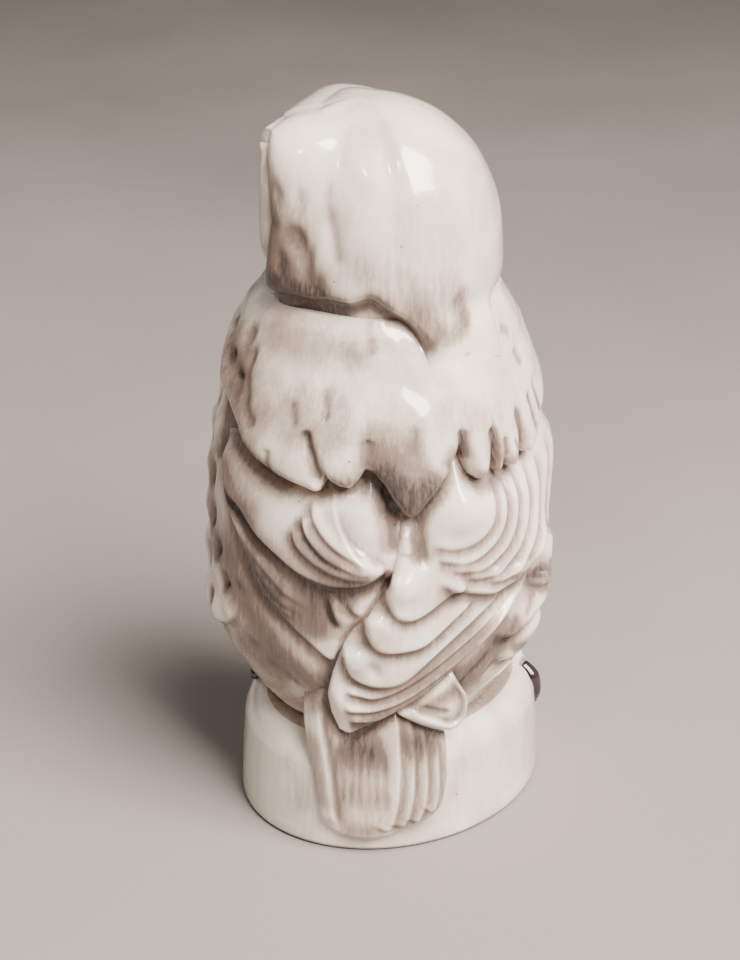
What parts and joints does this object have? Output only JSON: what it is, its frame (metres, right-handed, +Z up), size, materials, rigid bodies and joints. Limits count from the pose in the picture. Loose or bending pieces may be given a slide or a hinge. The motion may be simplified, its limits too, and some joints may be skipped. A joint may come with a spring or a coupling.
{
  "type": "owl figurine",
  "caption": "Small glazed ceramic owl on a low oval plinth, head turned over its left shoulder, wings folded across the tail.",
  "frame": {"origin": "on the ground, at the middle of the bounding box, under the plinth", "axes": "+Z up, -Y out of the owl's breast, +X towards the owl's left, where its head looks"},
  "size_m": [0.0505, 0.0498, 0.106],
  "materials": {
    "ivory_glaze": "glossy ivory glaze over a brown stain wiped back into the hollows",
    "black_glaze": "gloss black",
    "amber_glaze": "gloss amber with a black pupil"
  },
  "bodies": {
    "root": {"plinth": "ivory_glaze", "trunk": "ivory_glaze", "tail": "ivory_glaze", "left_wing": "ivory_glaze", "right_wing": "ivory_glaze", "mantle": "ivory_glaze", "head": "ivory_glaze", "facial_disc": "ivory_glaze", "beak": "black_glaze", "left_eye": "amber_glaze", "right_eye": "amber_glaze", "left_leg": "ivory_glaze", "right_leg": "ivory_glaze", "left_foot": "ivory_glaze", "right_foot": "ivory_glaze", "left_talons": "black_glaze", "right_talons": "black_glaze"}
  },
  "joints": []
}
